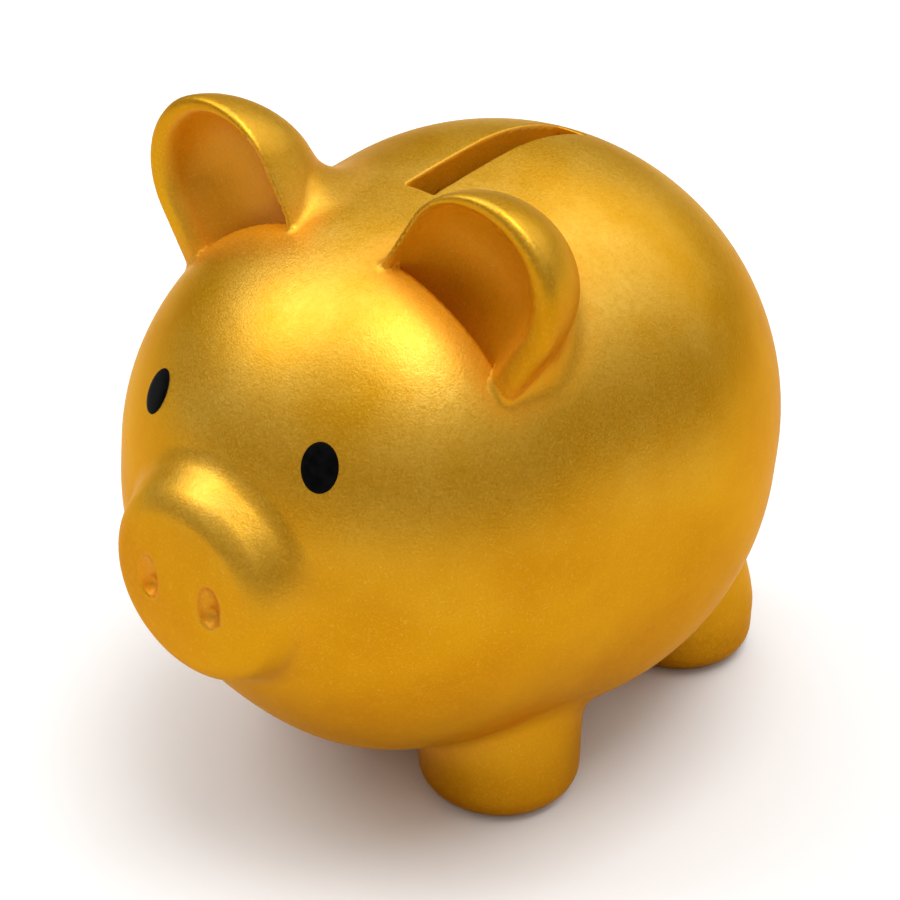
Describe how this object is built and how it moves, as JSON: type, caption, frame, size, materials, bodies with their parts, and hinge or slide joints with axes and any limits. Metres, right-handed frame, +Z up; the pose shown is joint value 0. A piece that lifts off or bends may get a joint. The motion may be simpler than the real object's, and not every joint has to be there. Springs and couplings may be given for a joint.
{
  "type": "pig money box",
  "caption": "Hollow pig-shaped money box with a coin slot in its back, luted snout, ears, legs and tail, and a soft plug in its belly.",
  "frame": {"origin": "on the surface that the feet stand on, under the middle of the whole pig", "axes": "+Z up, the pig faces -Y, its left side is +X"},
  "size_m": [0.0996, 0.1288, 0.1204],
  "materials": {
    "gold_glaze": "fired earthenware sprayed with satin metallic gold",
    "eye_enamel": "black enamel, satin",
    "plug_rubber": "soft moulded plug, matt"
  },
  "bodies": {
    "pig": {"body_shell": "gold_glaze", "snout": "gold_glaze", "ear_left": "gold_glaze", "ear_right": "gold_glaze", "leg_front_left": "gold_glaze", "leg_front_right": "gold_glaze", "leg_rear_left": "gold_glaze", "leg_rear_right": "gold_glaze", "tail": "gold_glaze", "eye_left": "eye_enamel", "eye_right": "eye_enamel"},
    "plug": {"belly_plug": "plug_rubber"}
  },
  "joints": [
    {"name": "plug_pull", "type": "slide", "parent": "pig", "child": "plug", "axis": [0, 0.1305, -0.9914], "range_m": [0, 0.025]}
  ]
}
